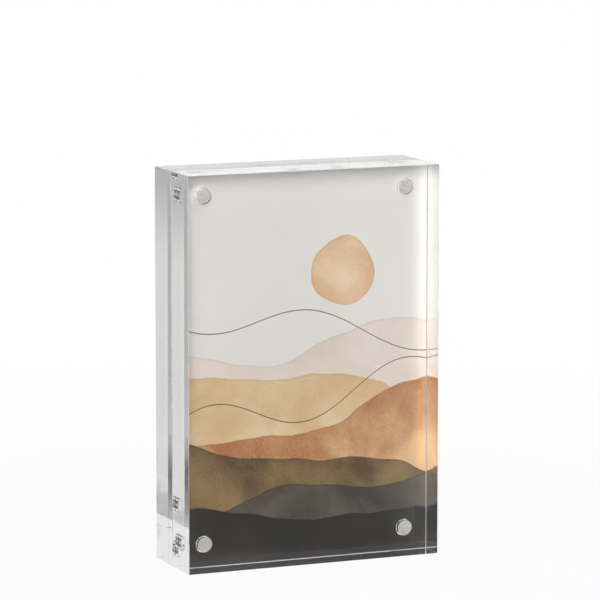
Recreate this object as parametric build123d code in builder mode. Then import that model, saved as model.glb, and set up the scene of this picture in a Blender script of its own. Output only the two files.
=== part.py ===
"""Acrylic block picture frame: two clear slabs that magnets hold face to face over a printed card.

The frame stands upright, with +Z up, +X to the right of a viewer and the displayed face towards -Y.
The origin is the middle of the base, on the surface that the block stands on. Sizes are in millimetres.
"""

import os

from build123d import *

# Clear slabs
block_width = 108.0
block_height = 158.8
front_slab_thickness = 18.0
rear_slab_thickness = 18.0
edge_bevel = 0.15

# Printed card, and the air that is left around it
card_thickness = 0.25
card_clearance = 0.05
card_setback = 0.2

# Disc magnets
magnet_diameter = 6.0
magnet_thickness = 3.0
magnet_rim_bevel = 0.25
magnet_side_inset = 10.4
magnet_end_inset = 9.5

# Magnet pockets, drilled into the inner face of each slab
magnet_recess = 0.1
pocket_clearance = 0.1
pocket_mouth_bevel = 0.3
bond_line = 0.2

# Sizes that follow from those above
slab_gap = card_thickness + 2 * card_clearance
middle_height = block_height / 2
magnet_spacing_x = block_width - 2 * magnet_side_inset
magnet_spacing_z = block_height - 2 * magnet_end_inset
pocket_diameter = magnet_diameter + 2 * pocket_clearance
pocket_depth = magnet_recess + magnet_thickness + bond_line

# The inner face of each slab: its normal points out of the slab, at the card
front_inner_face = Plane(origin=(0, -slab_gap / 2, middle_height), x_dir=(1, 0, 0), z_dir=(0, 1, 0))
rear_inner_face = Plane(origin=(0, slab_gap / 2, middle_height), x_dir=(1, 0, 0), z_dir=(0, -1, 0))
card_middle = Plane(origin=(0, 0, middle_height), x_dir=(1, 0, 0), z_dir=(0, -1, 0))

# Magnet places as a viewer at the front names them, in X and in height above the block's middle
magnet_places = {
    "top_left": (-magnet_spacing_x / 2, magnet_spacing_z / 2),
    "top_right": (magnet_spacing_x / 2, magnet_spacing_z / 2),
    "bottom_left": (-magnet_spacing_x / 2, -magnet_spacing_z / 2),
    "bottom_right": (magnet_spacing_x / 2, -magnet_spacing_z / 2),
}


def make_slab(label, inner_face, thickness):
    """A slab of cast acrylic with bevelled, polished edges and four flat-bottomed magnet pockets."""
    with BuildPart() as slab:
        with BuildSketch(inner_face):
            Rectangle(block_width, block_height)
        extrude(amount=-thickness)
        chamfer(slab.edges(), length=edge_bevel)

        with BuildSketch(inner_face):
            with GridLocations(magnet_spacing_x, magnet_spacing_z, 2, 2):
                Circle(pocket_diameter / 2)
        extrude(amount=-pocket_depth, mode=Mode.SUBTRACT)

        outward = Axis(inner_face.origin, inner_face.z_dir)
        pocket_mouths = slab.faces().sort_by(outward)[-1].inner_wires().edges()
        chamfer(pocket_mouths, length=pocket_mouth_bevel)
    slab.part.label = label
    return slab.part


def make_magnet(label, inner_face, x, height):
    """A plated disc magnet with bevelled rims, set a little below the slab's inner face."""
    centre = inner_face.origin + Vector(x, 0, height)
    outer_end = Plane(origin=centre, x_dir=inner_face.x_dir, z_dir=inner_face.z_dir).offset(-magnet_recess)
    with BuildPart() as magnet:
        with BuildSketch(outer_end):
            Circle(magnet_diameter / 2)
        extrude(amount=-magnet_thickness)
        chamfer(magnet.edges().filter_by(GeomType.CIRCLE), length=magnet_rim_bevel)
    magnet.part.label = label
    return magnet.part


pieces = [
    make_slab("front_slab", front_inner_face, front_slab_thickness),
    make_slab("rear_slab", rear_inner_face, rear_slab_thickness),
]

for place, (x, height) in magnet_places.items():
    pieces.append(make_magnet(f"front_magnet_{place}", front_inner_face, x, height))
    pieces.append(make_magnet(f"rear_magnet_{place}", rear_inner_face, x, height))

# The card lies midway between the slabs, a little inside their outline
with BuildPart() as printed_card:
    with BuildSketch(card_middle):
        Rectangle(block_width - 2 * card_setback, block_height - 2 * card_setback)
    extrude(amount=card_thickness / 2, both=True)
printed_card.part.label = "printed_card"
pieces.append(printed_card.part)

os.makedirs("parts", exist_ok=True)
for piece in pieces:
    export_step(piece, f"parts/{piece.label}.step")
    size = piece.bounding_box().size
    print(f"{piece.label}: {size.X:.2f} x {size.Y:.2f} x {size.Z:.2f} mm, {piece.volume:.1f} mm3")
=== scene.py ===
"""Dresses the acrylic block frame: clear slabs, plated magnets and a printed card on a pale sweep.

Every length in this file is in metres unless its name ends in _mm, and every place is in the frame of
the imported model: +Z up, +X to the right of a viewer, the displayed face towards -Y.
"""

import logging
import math
from dataclasses import dataclass
from enum import Enum, IntEnum
from typing import Any

import bpy
import numpy as np
from mathutils import Matrix, Vector


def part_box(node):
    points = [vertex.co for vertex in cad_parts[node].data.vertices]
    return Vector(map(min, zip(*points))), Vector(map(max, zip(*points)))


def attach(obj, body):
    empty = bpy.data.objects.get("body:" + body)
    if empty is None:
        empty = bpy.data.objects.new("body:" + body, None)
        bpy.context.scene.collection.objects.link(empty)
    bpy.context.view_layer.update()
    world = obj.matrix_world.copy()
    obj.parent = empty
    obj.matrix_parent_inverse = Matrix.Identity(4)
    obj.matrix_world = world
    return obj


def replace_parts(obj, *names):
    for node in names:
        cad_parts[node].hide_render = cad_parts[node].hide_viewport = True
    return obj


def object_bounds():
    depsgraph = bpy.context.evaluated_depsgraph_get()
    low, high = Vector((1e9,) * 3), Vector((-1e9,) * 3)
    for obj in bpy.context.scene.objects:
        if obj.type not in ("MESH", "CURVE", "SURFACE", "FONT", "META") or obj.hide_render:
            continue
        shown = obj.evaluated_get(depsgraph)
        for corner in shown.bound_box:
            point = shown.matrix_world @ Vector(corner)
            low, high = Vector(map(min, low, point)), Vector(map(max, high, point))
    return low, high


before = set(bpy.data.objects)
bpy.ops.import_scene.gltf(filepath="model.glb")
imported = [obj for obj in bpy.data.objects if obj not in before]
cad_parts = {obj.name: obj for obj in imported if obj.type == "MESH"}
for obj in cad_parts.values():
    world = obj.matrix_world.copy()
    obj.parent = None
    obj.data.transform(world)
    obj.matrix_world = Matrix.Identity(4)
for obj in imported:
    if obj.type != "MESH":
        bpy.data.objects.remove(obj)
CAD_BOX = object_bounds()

log = logging.getLogger("block_frame")

Material = bpy.types.Material
Tree = bpy.types.NodeTree
Socket = bpy.types.NodeSocket
Colour = tuple[float, float, float, float]

MM = 0.001
WHITE: Colour = (1.0, 1.0, 1.0, 1.0)

# Corners of a mesh that agree to this many decimals of a metre are one corner
WELD_DIGITS = 7

# Most of a noise texture's values lie in this span
NOISE_SPAN = (0.3, 0.7)

# A count of the matt or clear surfaces that a ray has met is below this until it meets the first
FIRST_MET = 1.0

# Keeps a place's X and Z, and drops its Y
ACROSS_AND_UP = (1.0, 0.0, 1.0)

# Sockets of the Mix node, which has a set of them for each kind of data under the same names
FLOAT_A, FLOAT_B = 2, 3
COLOUR_A, COLOUR_B, COLOUR_OUT = 6, 7, 2


class Side(Enum):
    """The two halves of the block, each with the body that it moves with."""

    FRONT = ("front", "front_block")
    REAR = ("rear", "rear_block")

    def __init__(self, word: str, body: str) -> None:
        """Keeps the word that starts the side's node names, and its body."""
        self.word = word
        self.body = body


class Corner(Enum):
    """The four magnet places, as a viewer at the front names them."""

    TOP_LEFT = "top_left"
    TOP_RIGHT = "top_right"
    BOTTOM_LEFT = "bottom_left"
    BOTTOM_RIGHT = "bottom_right"


class Cut(IntEnum):
    """How a face of a slab was finished. The number is its material slot."""

    POLISHED = 0
    MILLED = 1
    GROUND = 2


def linear(hex_colour: str) -> Colour:
    """Turns an sRGB hex colour into linear light.

    Args:
        hex_colour: Six hex digits after a hash sign.

    Returns:
        Linear red, green and blue with an alpha of one.
    """
    srgb = np.array([int(hex_colour[i : i + 2], 16) for i in (1, 3, 5)]) / 255.0
    light = np.where(srgb <= 0.04045, srgb / 12.92, ((srgb + 0.055) / 1.055) ** 2.4)
    return (*light.tolist(), 1.0)


def add_node(
    tree: Tree, kind: str, inputs: dict | None = None, output: int | str = 0, **settings: Any,
) -> Socket:
    """Adds a node, sets its properties, and gives each named input a value or a link.

    Args:
        tree: The node tree that gets the node.
        kind: The type of shader node, such as Math or MapRange.
        inputs: Input name or index to a plain value, or to the output socket that feeds it.
        output: Name or index of the output to hand back.
        **settings: Properties of the node itself.

    Returns:
        The chosen output socket, whose node is the new node.
    """
    node = tree.nodes.new("ShaderNode" + kind)
    for name, value in settings.items():
        setattr(node, name, value)
    for key, value in (inputs or {}).items():
        if isinstance(value, Socket):
            tree.links.new(value, node.inputs[key])
        else:
            node.inputs[key].default_value = value
    return node.outputs[output]


def between(low: float, high: float, start: float = 0.0, end: float = 1.0) -> dict[str, float]:
    """Inputs of a Map Range node that carries low to start and high to end."""
    return {"From Min": low, "From Max": high, "To Min": start, "To Max": end}


def direction(azimuth: float, elevation: float) -> Vector:
    """The way out from the block, turned to the right of the front and raised above the floor."""
    level = math.cos(elevation)
    return Vector((math.sin(azimuth) * level, -math.cos(azimuth) * level, math.sin(elevation)))


class Surface:
    """A material while it is made: its nodes, its shader, and the place on the piece in millimetres."""

    def __init__(self, name: str, plain: dict[str, Any]) -> None:
        """Starts the material.

        Args:
            name: The material's name.
            plain: Shader inputs that are the same all over the surface.
        """
        self.material = bpy.data.materials.new(name)
        self.material.use_nodes = True
        self.tree = self.material.node_tree
        self.shader = self.tree.nodes["Principled BSDF"]
        for socket, value in plain.items():
            self.shader.inputs[socket].default_value = value
        self.place = add_node(self.tree, "TexCoord", output="Object")
        in_mm = {0: self.place, "Scale": 1 / MM}
        self.place_mm = self.add("VectorMath", in_mm, operation="SCALE")

    def add(
        self, kind: str, inputs: dict | None = None, output: int | str = 0, **settings: Any,
    ) -> Socket:
        """Adds a node to this material, as add_node does."""
        return add_node(self.tree, kind, inputs, output, **settings)

    def drive(self, socket: str, source: Socket) -> None:
        """Links a shader input to what drives it."""
        self.tree.links.new(source, self.shader.inputs[socket])

    def emboss(self, height: Socket, depth: float) -> None:
        """Gives the surface a relief of that depth, in metres, from a height of nought to one."""
        self.drive("Normal", self.add("Bump", {"Distance": depth, "Height": height}))

    def mottle(self, mark_mm: float, roughness: tuple[float, float], detail: float = 2.0) -> None:
        """Lets the roughness wander over marks of a size.

        Args:
            mark_mm: The size of the marks.
            roughness: The roughness where the noise is low, and where it is high.
            detail: How many finer layers the noise has.
        """
        look = {"Vector": self.place_mm, "Scale": 1 / mark_mm, "Detail": detail}
        marks = self.add("TexNoise", look)
        haze = {"Value": marks, **between(*NOISE_SPAN, *roughness)}
        self.drive("Roughness", self.add("MapRange", haze))


def mesh_piece(
    name: str, points: np.ndarray, faces: list, materials: list[Material],
    material_of_face: np.ndarray | None = None, smooth: bool = False,
) -> bpy.types.Object:
    """Makes an object at the origin whose place is in its mesh.

    Args:
        name: The piece's name.
        points: Vertex places, one row each.
        faces: Vertex numbers of each face, counter-clockwise as seen from outside.
        materials: The piece's material slots.
        material_of_face: Slot number of each face, all zero where it is left out.
        smooth: Whether faces are shaded as one rounded surface.

    Returns:
        The new object, linked to the scene.
    """
    mesh = bpy.data.meshes.new(name)
    mesh.from_pydata(points.tolist(), [], faces)
    for material in materials:
        mesh.materials.append(material)
    if material_of_face is not None:
        mesh.polygons.foreach_set("material_index", material_of_face.astype(np.int32))
    mesh.polygons.foreach_set("use_smooth", np.full(len(faces), smooth))
    mesh.update()
    piece = bpy.data.objects.new(name, mesh)
    bpy.context.scene.collection.objects.link(piece)
    return piece


def grid_triangles(grid: np.ndarray) -> np.ndarray:
    """Splits each cell of a grid of places in two.

    Args:
        grid: Places by row and column. A step along a row, then one to the next row, turn
            counter-clockwise as seen from outside.

    Returns:
        The three corners of each triangle.
    """
    first, second = grid[:-1, :-1], grid[:-1, 1:]
    third, fourth = grid[1:, 1:], grid[1:, :-1]
    halves = np.stack([np.stack([first, second, third], 2), np.stack([first, third, fourth], 2)])
    return halves.reshape(-1, 3, 3)


def welded(corners: np.ndarray) -> tuple[np.ndarray, np.ndarray]:
    """Joins loose triangles where their corners meet, and drops those that have no area.

    A triangle with two corners at one place has shrunk to a line or a point.

    Args:
        corners: The three corners of each triangle.

    Returns:
        Vertex places, and three vertex numbers for each triangle.
    """
    places = corners.reshape(-1, 3).round(WELD_DIGITS) + 0.0
    points, place_of = np.unique(places, axis=0, return_inverse=True)
    triangles = place_of.reshape(-1, 3)
    apart = (triangles != np.roll(triangles, 1, axis=1)).all(1)
    return points, triangles[apart]


@dataclass(frozen=True)
class CastAcrylic:
    """Cast acrylic sheet, water-clear, in the three states that a frame maker leaves it in."""

    ior: float = 1.49
    tint: str = "#fcfcfc"
    polish_haze: float = 0.0
    streak_width_mm: float = 1.6
    streak_length_mm: float = 70.0
    streak_depth: float = 0.35e-3 * MM
    mill_mark_mm: float = 0.5
    mill_haze: tuple[float, float] = (0.1, 0.24)
    wet_haze: float = 0.02
    wet_radius_mm: float = 1.9
    wet_edge_mm: float = 0.2
    wet_wander_mm: tuple[float, float] = (1.4, 0.35)
    grit_mm: float = 0.4
    ground_haze: tuple[float, float] = (0.35, 0.55)
    ground_clear: float = 0.64

    def start(self, name: str, clear: float = 1.0) -> Surface:
        """Starts a material of this acrylic.

        Args:
            name: The material's name.
            clear: The share of light that passes, the rest being scattered white.

        Returns:
            The surface, smooth as glass so far.
        """
        return Surface(name, {
            "Base Color": linear(self.tint),
            "IOR": self.ior,
            "Transmission Weight": clear,
            "Roughness": self.polish_haze,
        })

    def polished(self) -> Material:
        """Cast faces and diamond-cut edges: sharp total reflection inside, faint streaks along the cut.

        Real streaks are finer than a pixel, so they are drawn some five times as wide.

        Returns:
            The material of the large faces and the sides.
        """
        surface = self.start("diamond_cut_cast_acrylic")
        along, beside = 1 / self.streak_length_mm, 1 / self.streak_width_mm
        stretch = {0: surface.place_mm, 1: (along, beside, along)}
        drawn = surface.add("VectorMath", stretch, operation="MULTIPLY")
        streaks = surface.add("TexNoise", {"Vector": drawn, "Scale": 1.0})
        surface.emboss(streaks, self.streak_depth)
        return surface.material

    def milled(self, middle: Vector, magnet: Vector) -> Material:
        """Pockets as the cutter left them: frosted, so that a magnet's rim shows pale and soft.

        Where a drop of adhesive wets a pocket's floor the frost is gone, and the plate shows as it is.
        The cutter's marks are finer than a pixel, so they are drawn some five times as coarse.

        Args:
            middle: The middle of the block, about which the four pockets are alike.
            magnet: The middle of the magnet at the top right.

        Returns:
            The pockets' material.
        """
        surface = self.start("milled_acrylic")
        marks = {"Vector": surface.place_mm, "Scale": 1 / self.mill_mark_mm}
        cut = surface.add("TexNoise", marks)
        frosted = between(*NOISE_SPAN, *self.mill_haze)
        frost = surface.add("MapRange", {"Value": cut, **frosted})

        # The four pockets are folded onto the one at the top right, and measured from its axis
        aside = {0: surface.place_mm, 1: middle / MM}
        offset = surface.add("VectorMath", aside, operation="SUBTRACT")
        folded = surface.add("VectorMath", {0: offset}, operation="ABSOLUTE")
        flat = {0: folded, 1: ACROSS_AND_UP}
        level = surface.add("VectorMath", flat, operation="MULTIPLY")
        axis = (magnet.x / MM, 0.0, (magnet.z - middle.z) / MM)
        away = surface.add("VectorMath", {0: level, 1: axis}, "Value", operation="DISTANCE")

        length, reach = self.wet_wander_mm
        flow = surface.add("TexNoise", {"Vector": surface.place_mm, "Scale": 1 / length})
        shift = between(*NOISE_SPAN, -reach, reach)
        wander = surface.add("MapRange", {"Value": flow, **shift})
        uneven = surface.add("Math", {0: away, 1: wander}, operation="ADD")
        rim = between(self.wet_radius_mm, self.wet_radius_mm + self.wet_edge_mm, 1.0, 0.0)
        wet = surface.add("MapRange", {"Value": uneven, **rim})
        haze = {"Factor": wet, FLOAT_A: frost, FLOAT_B: self.wet_haze}
        surface.drive("Roughness", surface.add("Mix", haze))
        return surface.material

    def ground(self) -> Material:
        """Arrises taken off with fine paper: satin lines that scatter some light and look whitish.

        The paper's grit is finer than a pixel, so it is drawn some ten times as coarse.

        Returns:
            The arrises' material.
        """
        surface = self.start("ground_acrylic_arris", self.ground_clear)
        surface.mottle(self.grit_mm, self.ground_haze)
        return surface.material


@dataclass(frozen=True)
class NickelPlate:
    """Satin nickel, barrel-plated on a sintered magnet: a warm silver with a faint orange peel.

    The fine pitting under the plate scatters about half of what it returns, so it is pale from every
    side. Water stains darken it in patches, and dull spots break up its sheen. The peel is drawn some
    three times as coarse as it is, so that it shows.
    """

    colour: str = "#f7f4ee"
    stain: str = "#d8d3ca"
    stain_mm: float = 0.8
    mirror_share: float = 0.45
    roughness: tuple[float, float] = (0.26, 0.38)
    dull_spot_mm: float = 1.1
    dull_spot_detail: float = 3.0
    peel_mm: float = 0.45
    peel_height: float = 1.1e-3 * MM

    def material(self) -> Material:
        """Builds the plating: a stained colour, a relief of orange peel, and a roughness in spots.

        Returns:
            The magnets' material.
        """
        surface = Surface("barrel_plated_nickel", {"Metallic": self.mirror_share})
        patches = {"Vector": surface.place_mm, "Scale": 1 / self.stain_mm}
        marks = surface.add("TexNoise", patches)
        stained = surface.add("MapRange", {"Value": marks, **between(*NOISE_SPAN)})
        tones = {"Factor": stained, COLOUR_A: linear(self.colour), COLOUR_B: linear(self.stain)}
        surface.drive("Base Color", surface.add("Mix", tones, COLOUR_OUT, data_type="RGBA"))

        dimples = {"Vector": surface.place_mm, "Scale": 1 / self.peel_mm}
        surface.emboss(surface.add("TexNoise", dimples), self.peel_height)
        surface.mottle(self.dull_spot_mm, self.roughness, self.dull_spot_detail)
        return surface.material


@dataclass(frozen=True)
class Crest:
    """A line across the card, in millimetres.

    Its height is the middle height, plus the rise times X over half the card's width, plus the swell
    times a sine of that wavelength that is moved to the right by the shift.
    """

    middle_mm: float
    rise_mm: float
    swell_mm: float
    wave_mm: float
    shift_mm: float = 0.0


@dataclass(frozen=True)
class Disc:
    """A round patch on the card, in millimetres."""

    x_mm: float
    height_mm: float
    radius_mm: float


@dataclass(frozen=True)
class Wash:
    """One wash: its outline, its thin and loaded colours, its dried rim, and how it runs."""

    outline: Crest | Disc
    thin: str
    loaded: str
    rim: str
    bloom_mm: float
    fade_mm: float


@dataclass(frozen=True)
class CoatedPrint:
    """A colour print of dunes under a pale sun, in washes, on satin coated card.

    The coating gives a soft even sheen over a fine tooth, which is drawn some five times as coarse as it
    is, so that it shows. The washes are cloudy, with dark dried rims.
    """

    # The card and its coating
    paper: str = "#e7e5df"
    core: str = "#efece4"
    specular: float = 0.3
    roughness: tuple[float, float] = (0.36, 0.5)
    tooth_mm: float = 0.7
    tooth_height: float = 3e-3 * MM
    printed_skin: tuple[float, float] = (0.8, 0.9)

    # The outline of a wash: the length and reach of each wander, and its rim
    wander_mm: tuple[float, float] = (26.0, 2.2)
    deckle_mm: tuple[float, float] = (1.7, 0.16)
    wander_span: tuple[float, float] = (0.25, 0.75)
    wander_detail: float = 1.0
    wander_seed: float = 3.7
    edge_mm: float = 0.3
    rim_mm: float = 1.1
    rim_strength: float = 0.7

    # The body of a wash: clouds, a fade from the top down, and grains of pigment
    bloom_span: tuple[float, float] = (0.36, 0.68)
    bloom_detail: float = 4.0
    bloom_roughness: float = 0.55
    bloom_curl: float = 0.5
    bloom_seed: float = 10.0
    fade_load: tuple[float, float] = (0.35, -0.25)
    grain_mm: float = 1.0
    grain_load: float = 0.16

    # The hairlines
    ink: str = "#3f332a"
    ink_width_mm: float = 0.3
    ink_strength: float = 0.85

    # The picture, from the farthest wash to the nearest
    washes: tuple[Wash, ...] = (
        Wash(Disc(17.0, 116.0, 14.0), "#efd6b4", "#dcb183", "#cfa271", 22.0, 26.0),
        Wash(Crest(87.0, 5.0, 5.0, 96.0, 8.0), "#eae0d5", "#ded0c2", "#d2c1b0", 30.0, 46.0),
        Wash(Crest(72.0, -11.0, 5.5, 118.0, -14.0), "#ecd6b2", "#d8b688", "#caa774", 34.0, 40.0),
        Wash(Crest(56.0, 12.0, 4.5, 104.0, 30.0), "#e6bc8a", "#b0723f", "#b27a45", 26.0, 34.0),
        Wash(Crest(42.0, -12.0, 4.0, 126.0, 4.0), "#a1834f", "#5d4527", "#4e3a22", 28.0, 30.0),
        Wash(Crest(27.0, 7.0, 4.0, 92.0, -30.0), "#6f6357", "#453b33", "#362e28", 22.0, 26.0),
        Wash(Crest(18.5, -4.0, 3.0, 110.0, 24.0), "#2c2521", "#1a1613", "#130f0d", 22.0, 22.0),
    )
    ink_lines: tuple[Crest, ...] = (
        Crest(95.0, -7.0, 6.5, 92.0, -20.0),
        Crest(64.0, 9.0, 8.0, 84.0, 22.0),
    )

    def material(self, low: Vector, high: Vector) -> Material:
        """Builds the printed material, the same on both faces, with bare card on its cut edges.

        Args:
            low: The card's lowest corner.
            high: Its highest corner.

        Returns:
            The card's material.
        """
        surface = Surface("watercolour_print_on_coated_card", {"Specular IOR Level": self.specular})
        axes = surface.add("SeparateXYZ", {0: surface.place_mm}).node.outputs
        middle_mm, half_skin_mm = (low.y + high.y) / 2 / MM, (high.y - low.y) / 2 / MM

        # The rear print runs the other way in X, so that both faces read the same to a viewer
        forward = surface.add("Math", {0: middle_mm, 1: axes["Y"]}, operation="SUBTRACT")
        facing = surface.add("Math", {0: forward}, operation="SIGN")
        across = surface.add("Math", {0: axes["X"], 1: facing}, operation="MULTIPLY")
        sheet = surface.add("CombineXYZ", {"X": across, "Z": axes["Z"]})

        half_width_mm = high.x / MM
        colour = linear(self.paper)
        for seed, wash in enumerate(self.washes):
            height = self.uneven(surface, sheet, axes["Z"], seed)
            inside = self.inside(surface, wash.outline, across, height, half_width_mm)
            colour = self.lay(surface, colour, wash, inside, sheet, seed)
        for line in self.ink_lines:
            below = self.inside(surface, line, across, axes["Z"], half_width_mm)
            colour = self.draw(surface, colour, below)

        depth = surface.add("Math", {0: forward}, operation="ABSOLUTE")
        skin = between(*(share * half_skin_mm for share in self.printed_skin))
        printed = surface.add("MapRange", {"Value": depth, **skin})
        whole = {"Factor": printed, COLOUR_A: linear(self.core), COLOUR_B: colour}
        surface.drive("Base Color", surface.add("Mix", whole, COLOUR_OUT, data_type="RGBA"))

        tooth = {"Vector": surface.place_mm, "Scale": 1 / self.tooth_mm}
        surface.emboss(surface.add("TexNoise", tooth), self.tooth_height)
        surface.mottle(self.tooth_mm, self.roughness)
        return surface.material

    def uneven(self, surface: Surface, sheet: Socket, height: Socket, seed: int) -> Socket:
        """Moves heights by a slow wander of the brush and by the fine deckle of a drying edge.

        Args:
            surface: The card's surface.
            sheet: The place on the card, in millimetres.
            height: The height on the card, in millimetres.
            seed: A number that gives each wash its own wander.

        Returns:
            The moved height.
        """
        for length, reach in (self.wander_mm, self.deckle_mm):
            look = {
                "Vector": sheet,
                "W": self.wander_seed * seed,
                "Scale": 1 / length,
                "Detail": self.wander_detail,
            }
            noise = surface.add("TexNoise", look, noise_dimensions="4D")
            moved = {"Value": noise, **between(*self.wander_span, -reach, reach)}
            shift = surface.add("MapRange", moved)
            height = surface.add("Math", {0: height, 1: shift}, operation="ADD")
        return height

    def inside(
        self, surface: Surface, outline: Crest | Disc, across: Socket, height: Socket,
        half_width_mm: float,
    ) -> Socket:
        """How far a point of the card lies inside an outline.

        Args:
            surface: The card's surface.
            outline: A crest, which has its inside below it, or a disc.
            across: The point's place from side to side, in millimetres.
            height: Its height, in millimetres.
            half_width_mm: Half the card's width.

        Returns:
            The distance in millimetres, negative outside.
        """
        if isinstance(outline, Disc):
            point = surface.add("CombineXYZ", {"X": across, "Z": height})
            ends = {0: point, 1: (outline.x_mm, 0.0, outline.height_mm)}
            reach = surface.add("VectorMath", ends, "Value", operation="DISTANCE")
            return surface.add("Math", {0: outline.radius_mm, 1: reach}, operation="SUBTRACT")
        per_mm = 2 * math.pi / outline.wave_mm
        turned = {0: across, 1: per_mm, 2: -outline.shift_mm * per_mm}
        phase = surface.add("Math", turned, operation="MULTIPLY_ADD")
        wave = surface.add("Math", {0: phase}, operation="SINE")
        swell = {0: wave, 1: outline.swell_mm, 2: outline.middle_mm}
        level = surface.add("Math", swell, operation="MULTIPLY_ADD")
        slope = {0: across, 1: outline.rise_mm / half_width_mm, 2: level}
        crest = surface.add("Math", slope, operation="MULTIPLY_ADD")
        return surface.add("Math", {0: crest, 1: height}, operation="SUBTRACT")

    def lay(
        self, surface: Surface, under: Socket | Colour, wash: Wash, inside: Socket, sheet: Socket,
        seed: int,
    ) -> Socket:
        """Lays one wash over what is there: cloudy within, thinner lower down, dark at its dried rim.

        Args:
            surface: The card's surface.
            under: The colour so far.
            wash: The wash.
            inside: How far a point lies inside it, in millimetres.
            sheet: The place on the card, in millimetres.
            seed: A number that gives each wash its own clouds.

        Returns:
            The colour with the wash on it.
        """
        look = {
            "Vector": sheet,
            "W": self.bloom_seed * (seed + 1),
            "Scale": 1 / wash.bloom_mm,
            "Detail": self.bloom_detail,
            "Roughness": self.bloom_roughness,
            "Distortion": self.bloom_curl,
        }
        clouds = surface.add("TexNoise", look, noise_dimensions="4D")
        bloom = surface.add("MapRange", {"Value": clouds, **between(*self.bloom_span)})
        run = between(0.0, wash.fade_mm, *self.fade_load)
        fade = surface.add("MapRange", {"Value": inside, **run})
        load = surface.add("Math", {0: bloom, 1: fade}, operation="ADD")

        pigment = surface.add("TexNoise", {"Vector": sheet, "Scale": 1 / self.grain_mm})
        spread = between(*self.wander_span, -self.grain_load, self.grain_load)
        grain = surface.add("MapRange", {"Value": pigment, **spread})
        grained = surface.add("Math", {0: load, 1: grain}, operation="ADD", use_clamp=True)

        paint = {"Factor": grained, COLOUR_A: linear(wash.thin), COLOUR_B: linear(wash.loaded)}
        body = surface.add("Mix", paint, COLOUR_OUT, data_type="RGBA")
        drying = between(0.0, self.rim_mm, self.rim_strength, 0.0)
        rim = surface.add("MapRange", {"Value": inside, **drying})
        rimmed = {"Factor": rim, COLOUR_A: body, COLOUR_B: linear(wash.rim)}
        dried = surface.add("Mix", rimmed, COLOUR_OUT, data_type="RGBA")
        cover = surface.add("MapRange", {"Value": inside, **between(0.0, self.edge_mm)})
        laid = {"Factor": cover, COLOUR_A: under, COLOUR_B: dried}
        return surface.add("Mix", laid, COLOUR_OUT, data_type="RGBA")

    def draw(self, surface: Surface, under: Socket, inside: Socket) -> Socket:
        """Draws a hairline of ink where a point lies on the line.

        Args:
            surface: The card's surface.
            under: The colour so far.
            inside: The distance below the line, in millimetres.

        Returns:
            The colour with the line on it.
        """
        away = surface.add("Math", {0: inside}, operation="ABSOLUTE")
        stroke = between(self.ink_width_mm / 2, self.ink_width_mm, self.ink_strength, 0.0)
        cover = surface.add("MapRange", {"Value": away, **stroke})
        inked = {"Factor": cover, COLOUR_A: under, COLOUR_B: linear(self.ink)}
        return surface.add("Mix", inked, COLOUR_OUT, data_type="RGBA")


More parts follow.
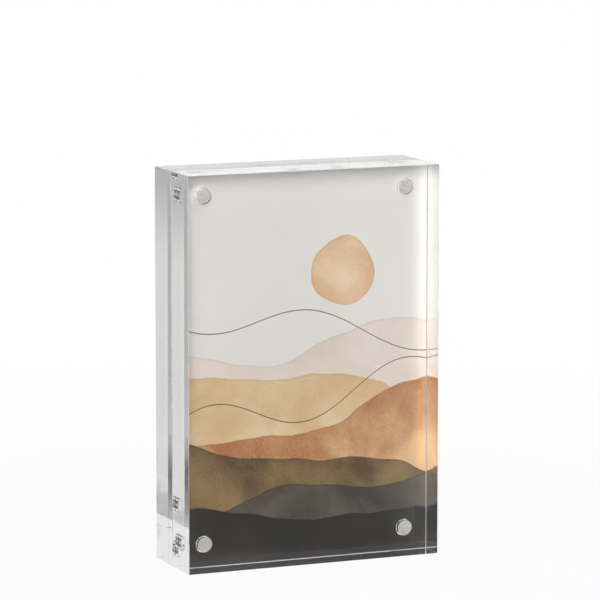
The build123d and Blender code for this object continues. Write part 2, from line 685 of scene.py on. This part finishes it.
@dataclass
class ClearSlab:
    """One of the two clear slabs: the CAD solid's shape, with rounder pockets and a finish for each face.

    Its pockets are milled. Its arrises are ground, but for the long ones that it stands on, which are
    polished like the rest of it. A slab is alike about its two middle planes, so one quarter of it is
    worked out and mirrored.
    """

    side: Side
    finishes: dict[Cut, Material]
    bevel: float = 0.15 * MM
    pocket_clearance: float = 0.1 * MM
    mouth_bevel: float = 0.3 * MM
    bond_line: float = 0.2 * MM
    around: int = 96
    square_limit: float = 0.9
    slant_limit: float = 0.5
    pocket_margin: float = 0.6 * MM

    def build(self) -> None:
        """Makes the slab in place of its CAD solid."""
        node = f"{self.side.word}_slab"
        low, high = (np.array(corner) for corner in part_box(node))
        magnet = np.array(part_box(f"{self.side.word}_magnet_{Corner.TOP_RIGHT.value}"))
        inner, outer = sorted((low[1], high[1]), key=abs)
        into = np.sign(outer - inner)
        origin = np.array([0.0, inner, (low[2] + high[2]) / 2])

        sizes = np.array([high[0], (high[2] - low[2]) / 2, abs(outer - inner)])
        axis = (magnet.mean(0) - origin)[[0, 2]]
        radius = (magnet[1, 0] - magnet[0, 0]) / 2
        depth = np.abs(magnet[:, 1] - inner).max() + self.bond_line
        quarter = self.quarter(sizes, axis, radius + self.pocket_clearance, depth)

        # Laying its depth along Y turns a quarter inside out, and so does each mirroring. One that ends
        # up inside out has its corners taken the other way round.
        quarters = []
        for across, up in ((1, 1), (-1, 1), (1, -1), (-1, -1)):
            placed = origin + quarter[:, :, [0, 2, 1]] * [across, into, up]
            quarters.append(placed if into * across * up < 0 else placed[:, ::-1])
        points, triangles = welded(np.concatenate(quarters))

        slots = self.cut_of_face(points[triangles], origin, axis, radius)
        finishes = [self.finishes[cut] for cut in Cut]
        piece = mesh_piece(node + "_acrylic", points, triangles.tolist(), finishes, slots)
        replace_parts(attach(piece, self.side.body), node)
        log.info("%s made of %d triangles", piece.name, len(triangles))

    def quarter(self, sizes: np.ndarray, axis: np.ndarray, radius: float, depth: float) -> np.ndarray:
        """The quarter of a slab beyond its two middle planes, with its pocket, as across, up and deep.

        Rings about the pocket's axis run from the middle of its floor to the floor's rim, up the wall,
        over the bevelled mouth and out to the edge of the inner face. From that edge on, the outline is
        carried over the bevels and the side to the outer face, and in to its middle.

        Args:
            sizes: Half the slab's width, half its height, and its thickness.
            axis: Where the pocket's axis is, across and up.
            radius: The pocket's radius.
            depth: The pocket's depth.

        Returns:
            The three corners of each triangle.
        """
        # Directions round the axis: even ones, one at each corner of the inner face, and the first again
        flat = sizes[:2] - self.bevel
        ends = np.array([[flat[0], 0.0], flat, [0.0, flat[1]], [0.0, 0.0]]) - axis
        start, corner, finish, far = np.unwrap(np.arctan2(ends[:, 1], ends[:, 0]))
        even = start + np.linspace(0, 2 * math.pi, self.around, endpoint=False)
        once = np.sort(np.append(even, [corner, finish, far]))
        angle = np.append(once, start)
        aim = np.stack([np.cos(angle), np.sin(angle)], -1)

        # Each direction ends at the first side of the inner face that it meets
        edge = axis + aim * (np.where(aim > 0, flat - axis, -axis) / aim).min(1, keepdims=True)

        mouth = radius + self.mouth_bevel
        rings = [
            self.level(axis + 0 * aim, depth),
            self.level(axis + radius * aim, depth),
            self.level(axis + radius * aim, self.mouth_bevel),
            self.level(axis + mouth * aim, 0.0),
            self.level(edge, 0.0),
        ]

        # The outline's two runs, beside and above the pocket, part at the corner to leave it a bevel
        beside = edge[:-1][once <= corner]
        above = edge[:-1][(once >= corner) & (once <= finish)]
        inner_line = np.concatenate([beside, above])
        outer_line = np.concatenate([beside + [self.bevel, 0.0], above + [0.0, self.bevel]])
        thickness = sizes[2]
        shell = [
            self.level(inner_line, 0.0),
            self.level(outer_line, self.bevel),
            self.level(outer_line, thickness - self.bevel),
            self.level(inner_line, thickness),
            self.level(0 * inner_line, thickness),
        ]
        return np.concatenate([grid_triangles(np.array(rings)), grid_triangles(np.array(shell))])

    def level(self, line: np.ndarray, depth: float) -> np.ndarray:
        """Puts places across and up at one depth."""
        return np.column_stack([line, np.full(len(line), depth)])

    def cut_of_face(
        self, corners: np.ndarray, origin: np.ndarray, axis: np.ndarray, radius: float,
    ) -> np.ndarray:
        """Tells polished faces, milled pockets and ground arrises apart.

        A pocket's triangle has all its corners within the pocket's reach of a magnet's axis. An arris is
        a face that looks along none of the three axes, and one that slants down and to the front or the
        rear is left polished.

        Args:
            corners: The three corners of each triangle.
            origin: The middle of the inner face.
            axis: How far the magnets are from it, across and up.
            radius: A magnet's radius.

        Returns:
            The cut of each triangle, which is its slot number.
        """
        normals = np.cross(corners[:, 1] - corners[:, 0], corners[:, 2] - corners[:, 0])
        normals /= np.linalg.norm(normals, axis=1, keepdims=True)
        arris = np.abs(normals).max(1) < self.square_limit
        arris &= (normals[:, 2] > -self.slant_limit) | (np.abs(normals[:, 0]) > self.slant_limit)

        from_axis = np.linalg.norm(np.abs(corners - origin)[:, :, [0, 2]] - axis, axis=-1)
        pocket = (from_axis < radius + self.pocket_margin).all(1)
        return np.where(pocket, Cut.MILLED, np.where(arris, Cut.GROUND, Cut.POLISHED))


@dataclass
class DiscMagnet:
    """A plated disc magnet in its pocket, with rounded rims."""

    side: Side
    corner: Corner
    finish: Material
    rim_radius: float = 0.25 * MM
    around: int = 96
    rim_steps: int = 7

    def build(self) -> None:
        """Turns the disc's profile about its own axis, in place of the plain CAD disc."""
        node = f"{self.side.word}_magnet_{self.corner.value}"
        low, high = (np.array(corner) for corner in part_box(node))
        centre, radius, half = (low + high) / 2, (high[0] - low[0]) / 2, (high[1] - low[1]) / 2
        points, triangles = welded(centre + self.turned_disc(radius, half))
        piece = mesh_piece(node + "_disc", points, triangles.tolist(), [self.finish], smooth=True)
        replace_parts(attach(piece, self.side.body), node)
        log.info("%s turned, %.1f mm across", piece.name, 2 * radius / MM)

    def turned_disc(self, radius: float, half: float) -> np.ndarray:
        """A disc about the Y axis whose rims are quarter circles.

        The profile runs from the middle of one end face over a quarter circle, along the wall, over the
        other quarter circle and in to the middle of the other end. Each of its points is carried round
        the axis.

        Args:
            radius: Its outer radius.
            half: Half its thickness.

        Returns:
            The three corners of each triangle.
        """
        turn = np.linspace(0, math.pi / 2, self.rim_steps)
        bend, rise = self.rim_radius * np.sin(turn), self.rim_radius * np.cos(turn)
        flat, wall = radius - self.rim_radius, half - self.rim_radius
        reach = np.concatenate([[0.0], flat + bend, flat + rise, [0.0]])
        along = np.concatenate([[-half], -wall - rise, wall + bend, [half]])

        # Carried round this way, from a whole turn back to nought, the grid faces outwards
        angle = np.linspace(2 * math.pi, 0, self.around + 1)
        rings = [
            np.outer(reach, np.cos(angle)),
            np.outer(along, np.ones_like(angle)),
            np.outer(reach, np.sin(angle)),
        ]
        return grid_triangles(np.stack(rings, -1))


@dataclass
class PrintedCard:
    """The printed card between the slabs: the CAD solid as it is, given its finish."""

    finish: Material

    def build(self) -> None:
        """Dresses the card's CAD node."""
        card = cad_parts["printed_card"]
        card.data.materials.clear()
        card.data.materials.append(self.finish)
        log.info("printed_card dressed as %s", self.finish.name)


@dataclass
class PaperSweep:
    """The round, nearly white floor, just below the block so that its clear base keeps an air film.

    To the eye it is a white backdrop that keeps the block's shadow, faintly. In the glass and in mirrors
    it shows its tone, with painted light and shade in it, near the block and white further out, and under
    the clear base it glows white, painted light for what the base gathers.
    """

    # The sheet
    reach: float = 4.0
    around: int = 96
    drop: float = 0.2 * MM
    roughness: float = 0.8

    # Its tone: a pool of light painted in at the front, fading out to the far tone
    near: str = "#e7e7e5"
    far: str = "#aeaeb0"
    painted_light_pool_centre: tuple[float, float, float] = (0.22, -0.45, 0.0)
    painted_light_pool_reach: tuple[float, float] = (0.33, 0.8)

    # A shadow painted into the tone behind the block
    painted_shadow_centre: tuple[float, float, float] = (0.085, 0.095, 0.0)
    painted_shadow_squash: tuple[float, float, float] = (1.0, 0.5, 1.0)
    painted_shadow_core: tuple[float, float] = (0.01, 0.055)
    painted_shadow_core_level: float = 0.05
    painted_shadow_edge: tuple[float, float] = (0.063, 0.069)
    painted_shadow_edge_level: float = 0.66

    # A strip of painted shade on the floor in front of the block, hidden from the eye
    painted_shade_strip_turn: float = math.radians(21.2)
    painted_shade_strip_middle: float = -0.01
    painted_shade_strip_reach: tuple[float, float] = (0.043, 0.049)
    painted_shade_strip_start: tuple[float, float] = (0.01, 0.03)
    painted_shade_strip_level: float = 0.5

    # What the eye sees: white, but for a share of the lit paper near the block
    shadow_reach: tuple[float, float] = (0.2, 0.5)
    shadow_share: float = 0.045

    # What the glass shows: where white takes over from the tone, how white the painted glow is under the
    # front and the rear slab, and how much of the tone shines by itself, in the open and under the rear
    # slab
    backdrop_reach: tuple[float, float] = (1.2, 2.4)
    footprint: tuple[float, float] = (CAD_BOX[1][0], CAD_BOX[1][1])
    footprint_edge: tuple[float, float] = (0.98, 1.04)
    painted_glow_shares: tuple[float, float] = (1.0, 0.2)
    tone_shares: tuple[float, float] = (0.96, 0.0)

    def build(self) -> None:
        """Lays the floor: lit paper, mixed with a backdrop that shines by itself."""
        surface = Surface("white_paper_sweep", {"Roughness": self.roughness})
        tone = self.tone(surface)
        surface.drive("Base Color", tone)
        white, share = self.backdrop(surface)
        bright = {"Factor": white, COLOUR_A: tone, COLOUR_B: WHITE}
        colour = surface.add("Mix", bright, COLOUR_OUT, data_type="RGBA")
        backdrop = surface.add("Emission", {"Color": colour, "Strength": 1.0})
        layers = {0: share, 1: surface.shader.outputs[0], 2: backdrop}
        mixed = surface.add("MixShader", layers)
        surface.tree.links.new(mixed, surface.tree.nodes["Material Output"].inputs["Surface"])

        angle = np.linspace(0, 2 * math.pi, self.around, endpoint=False)
        rim = np.stack([np.cos(angle), np.sin(angle), np.zeros_like(angle)], -1) * self.reach
        sheet = [tuple(range(len(rim)))]
        mesh_piece("floor", rim - [0, 0, self.drop], sheet, [surface.material])

    def tone(self, surface: Surface) -> Socket:
        """The paper's colour, with light and shade painted in: palest in a painted pool of light, dim in
        the painted shadow behind the block and in the strip of painted shade in front.

        Args:
            surface: The floor's surface.

        Returns:
            The colour.
        """
        # A pool of light painted into the floor's tone, palest near its middle in front of the block
        pool = {0: surface.place, 1: self.painted_light_pool_centre}
        from_pool = surface.add("VectorMath", pool, "Value", operation="DISTANCE")
        dim = surface.add("MapRange", {"Value": from_pool, **between(*self.painted_light_pool_reach)})
        ends = {"Factor": dim, COLOUR_A: linear(self.near), COLOUR_B: linear(self.far)}
        tone = surface.add("Mix", ends, COLOUR_OUT, data_type="RGBA")
        # Painted shade darkens the tone: a painted shadow behind the block, and a dim strip in front
        shades = {0: self.painted_shadow(surface), 1: self.painted_shade_strip(surface)}
        shade = surface.add("Math", shades, operation="MULTIPLY")
        return surface.add("VectorMath", {0: tone, "Scale": shade}, operation="SCALE")

    def painted_shadow(self, surface: Surface) -> Socket:
        """The shadow painted behind the block: an ellipse with a dark core, a dim body and a short soft
        edge.

        Args:
            surface: The floor's surface.

        Returns:
            The share of the floor's colour that is left.
        """
        moved = {0: surface.place, 1: self.painted_shadow_centre}
        aside = surface.add("VectorMath", moved, operation="SUBTRACT")
        squash = {0: aside, 1: self.painted_shadow_squash}
        squashed = surface.add("VectorMath", squash, operation="MULTIPLY")
        away = surface.add("VectorMath", {0: squashed}, "Value", operation="LENGTH")
        deep = between(*self.painted_shadow_core, self.painted_shadow_core_level)
        core = surface.add("MapRange", {"Value": away, **deep})
        soft = between(*self.painted_shadow_edge, self.painted_shadow_edge_level)
        edge = surface.add("MapRange", {"Value": away, **soft})
        return surface.add("Math", {0: core, 1: edge}, operation="MULTIPLY")

    def painted_shade_strip(self, surface: Surface) -> Socket:
        """Painted shade: a dim strip on the floor, hidden from the eye, which the front face mirrors to
        keep the print's darks deep.

        It is a strip that runs from under the block forwards and to the right.

        Args:
            surface: The floor's surface.

        Returns:
            The share of the floor's colour that is left, one beside the strip and to the eye itself.
        """
        turn = self.painted_shade_strip_turn
        sideways = {0: surface.place, 1: (math.cos(turn), math.sin(turn), 0.0)}
        forwards = {0: surface.place, 1: (math.sin(turn), -math.cos(turn), 0.0)}
        across = surface.add("VectorMath", sideways, "Value", operation="DOT_PRODUCT")
        aside = surface.add("Math", {0: across, 1: self.painted_shade_strip_middle}, operation="SUBTRACT")
        off = surface.add("Math", {0: aside}, operation="ABSOLUTE")
        width = between(*self.painted_shade_strip_reach, 1.0, 0.0)
        on_strip = surface.add("MapRange", {"Value": off, **width})
        along = surface.add("VectorMath", forwards, "Value", operation="DOT_PRODUCT")
        ahead = surface.add("MapRange", {"Value": along, **between(*self.painted_shade_strip_start)})
        covered = surface.add("Math", {0: on_strip, 1: ahead}, operation="MULTIPLY")
        # The painted shade is hidden from the eye, so only mirrors and the glass show it
        eye = surface.add("LightPath", output="Is Camera Ray")
        unseen = surface.add("Math", {0: 1.0, 1: eye}, operation="SUBTRACT")
        cover = surface.add("Math", {0: covered, 1: unseen}, operation="MULTIPLY")
        left = between(0.0, 1.0, 1.0, self.painted_shade_strip_level)
        return surface.add("MapRange", {"Value": cover, **left})

    def backdrop(self, surface: Surface) -> tuple[Socket, Socket]:
        """The floor as a backdrop, to a ray that has met no matt surface yet.

        Args:
            surface: The floor's surface.

        Returns:
            How white the backdrop is, from the floor's tone with its painted light and shade to plain
            white, and how much of it shows.
        """
        path = surface.add("LightPath").node.outputs
        eye = path["Is Camera Ray"]
        away = surface.add("VectorMath", {0: surface.place}, "Value", operation="LENGTH")
        fading = between(*self.shadow_reach, 1 - self.shadow_share)
        straight = surface.add("MapRange", {"Value": away, **fading})
        beyond = surface.add("MapRange", {"Value": away, **between(*self.backdrop_reach)})

        within, rearward = self.under_block(surface)
        # Painted light: under the front slab the floor glows white to the glass, and a little under the
        # rear one
        front_share, rear_share = self.painted_glow_shares
        shares = {"Factor": rearward, FLOAT_A: front_share, FLOAT_B: rear_share}
        painted_glow = {0: within, 1: surface.add("Mix", shares), 2: beyond}
        in_glass = surface.add("Math", painted_glow, operation="MULTIPLY_ADD")
        white = surface.add("Mix", {"Factor": eye, FLOAT_A: in_glass, FLOAT_B: 1.0})

        under_rear = surface.add("Math", {0: within, 1: rearward}, operation="MULTIPLY")
        shining = between(0.0, 1.0, *self.tone_shares)
        own = surface.add("MapRange", {"Value": under_rear, **shining})
        shown = surface.add("Mix", {"Factor": in_glass, FLOAT_A: own, FLOAT_B: 1.0})
        share = surface.add("Mix", {"Factor": eye, FLOAT_A: shown, FLOAT_B: straight})
        matt = {0: path["Diffuse Depth"], 1: FIRST_MET}
        unscattered = surface.add("Math", matt, operation="LESS_THAN")
        return white, surface.add("Math", {0: share, 1: unscattered}, operation="MULTIPLY")

    def under_block(self, surface: Surface) -> tuple[Socket, Socket]:
        """Where the block stands: the larger of X and Y, in half sizes of the block, is at most one.

        Args:
            surface: The floor's surface.

        Returns:
            Whether a place is under the block, with a soft edge, and whether it is behind the card.
        """
        half_width, half_depth = self.footprint
        halves = {0: surface.place, 1: (1 / half_width, 1 / half_depth, 0.0)}
        spread = surface.add("VectorMath", halves, operation="MULTIPLY")
        off = surface.add("VectorMath", {0: spread}, operation="ABSOLUTE")
        sides = surface.add("SeparateXYZ", {0: off}).node.outputs
        larger = {0: sides["X"], 1: sides["Y"]}
        outward = surface.add("Math", larger, operation="MAXIMUM")
        edge = between(*self.footprint_edge, 1.0, 0.0)
        within = surface.add("MapRange", {"Value": outward, **edge})
        depth = surface.add("SeparateXYZ", {0: surface.place}, "Y")
        return within, surface.add("Math", {0: depth, 1: 0.0}, operation="GREATER_THAN")


@dataclass
class LightDome:
    """The studio's soft light: a dome, bright along the horizon, with a source in front and one behind.

    A ray that has met no matt surface yet sees it as a backdrop, which is white straight on and off the
    outside, and a little less white through the glass. A ray that goes on from the card or the floor
    meets the dome's own level, and that is what lights them.
    """

    # The dome, from the horizon up, and the backdrop
    horizon_level: float = 0.42
    zenith_level: float = 0.05
    horizon_rise: float = 0.35
    backdrop_in_glass: float = 0.85

    # The source in front, a little to the left: how far from its middle it starts and is full
    key_azimuth: float = math.radians(-21)
    key_elevation: float = math.radians(17)
    key_angles: tuple[float, float] = (math.radians(33), math.radians(8))
    key_level: float = 5.7

    # The source behind, low along the horizon
    rear_level: float = 9.0
    rear_rise: float = 0.22
    rear_turn: tuple[float, float] = (0.2, 0.9)

    def build(self) -> None:
        """Makes the dome the scene's world."""
        world = bpy.data.worlds.new("studio_dome")
        bpy.context.scene.world = world
        world.use_nodes = True
        tree = world.node_tree
        path = add_node(tree, "LightPath").node.outputs
        clear = {0: path["Transmission Depth"], 1: FIRST_MET}
        outside = add_node(tree, "Math", clear, operation="LESS_THAN")
        sight = {"Factor": outside, FLOAT_A: self.backdrop_in_glass, FLOAT_B: 1.0}
        backdrop = add_node(tree, "Mix", sight)
        matt = {0: path["Diffuse Depth"], 1: FIRST_MET}
        unscattered = add_node(tree, "Math", matt, operation="LESS_THAN")
        views = {"Factor": unscattered, FLOAT_A: self.level(tree), FLOAT_B: backdrop}
        background = tree.nodes["Background"]
        background.inputs["Color"].default_value = WHITE
        tree.links.new(add_node(tree, "Mix", views), background.inputs["Strength"])

    def level(self, tree: Tree) -> Socket:
        """How bright the dome is in each direction.

        Args:
            tree: The world's nodes.

        Returns:
            The level, one being white.
        """
        towards = add_node(tree, "TexCoord", output="Generated")
        aim = add_node(tree, "SeparateXYZ", {0: towards}).node.outputs
        rise = between(0.0, self.horizon_rise, self.horizon_level, self.zenith_level)
        sky = {"Value": aim["Z"], **rise}
        dome = add_node(tree, "MapRange", sky, interpolation_type="SMOOTHSTEP")

        to_key = {0: towards, 1: direction(self.key_azimuth, self.key_elevation)}
        facing = add_node(tree, "VectorMath", to_key, "Value", operation="DOT_PRODUCT")
        rim, full = (math.cos(angle) for angle in self.key_angles)
        lobe = {"Value": facing, **between(rim, full, 0.0, self.key_level)}
        key = add_node(tree, "MapRange", lobe, interpolation_type="SMOOTHSTEP")

        rear = between(*self.rear_turn, 0.0, self.rear_level)
        behind = add_node(tree, "MapRange", {"Value": aim["Y"], **rear})
        band = between(0.0, self.rear_rise, 1.0, 0.0)
        low = add_node(tree, "MapRange", {"Value": aim["Z"], **band})
        front = add_node(tree, "Math", {0: dome, 1: key}, operation="ADD")
        sources = {0: behind, 1: low, 2: front}
        return add_node(tree, "Math", sources, operation="MULTIPLY_ADD")


@dataclass
class LongLens:
    """The camera: a long lens in front and to the left, a little above the block."""

    aim_height: float = CAD_BOX[1][2] / 2
    azimuth: float = math.radians(-22.775)
    elevation: float = math.radians(8.438)
    distance: float = 1602.5 * MM
    offset_right: float = 1.05 * MM
    offset_up: float = 24.75 * MM
    lens_mm: float = 239.24
    sensor_mm: float = 36.0
    clip_end: float = 100.0

    def build(self) -> None:
        """Places the camera and makes it the scene's."""
        back = direction(self.azimuth, self.elevation)
        right = Vector((math.cos(self.azimuth), math.sin(self.azimuth), 0.0))
        up = back.cross(right)
        place = Vector((0, 0, self.aim_height)) + back * self.distance
        place += right * self.offset_right + up * self.offset_up
        data = bpy.data.cameras.new("camera")
        data.lens = self.lens_mm
        data.sensor_width = self.sensor_mm
        data.clip_end = self.clip_end
        camera = bpy.data.objects.new("camera", data)
        camera.matrix_world = Matrix((right, up, back)).transposed().to_4x4()
        camera.location = place
        bpy.context.scene.collection.objects.link(camera)
        bpy.context.scene.camera = camera


@dataclass
class Studio:
    """Floor, light and camera, and how light passes the clear slabs: it may turn many times inside."""

    turns_in_glass: int = 32
    turns_in_all: int = 40

    # Glass is blurred for the light on matt surfaces, and a full blur would keep half of it from the card
    glass_blur: float = 0.25

    def build(self) -> None:
        """Sets up the studio and its plain view."""
        PaperSweep().build()
        LightDome().build()
        LongLens().build()
        scene = bpy.context.scene
        scene.view_settings.view_transform = "Standard"
        scene.cycles.max_bounces = self.turns_in_all
        scene.cycles.glossy_bounces = self.turns_in_glass
        scene.cycles.transmission_bounces = self.turns_in_glass
        scene.cycles.blur_glossy = self.glass_blur


def main() -> None:
    """Builds each sub-assembly in turn, then the studio."""
    logging.basicConfig(level=logging.INFO, format="%(name)s: %(message)s")
    acrylic = CastAcrylic()
    middle = (Vector(CAD_BOX[0]) + Vector(CAD_BOX[1])) / 2
    magnet_low, magnet_high = (Vector(corner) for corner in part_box("front_magnet_top_right"))
    finishes = {
        Cut.POLISHED: acrylic.polished(),
        Cut.MILLED: acrylic.milled(middle, (magnet_low + magnet_high) / 2),
        Cut.GROUND: acrylic.ground(),
    }
    nickel = NickelPlate().material()
    for side in Side:
        ClearSlab(side, finishes).build()
        for corner in Corner:
            DiscMagnet(side, corner, nickel).build()
    card_low, card_high = (Vector(corner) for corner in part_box("printed_card"))
    PrintedCard(CoatedPrint().material(card_low, card_high)).build()
    Studio().build()


if __name__ == "__main__":
    main()
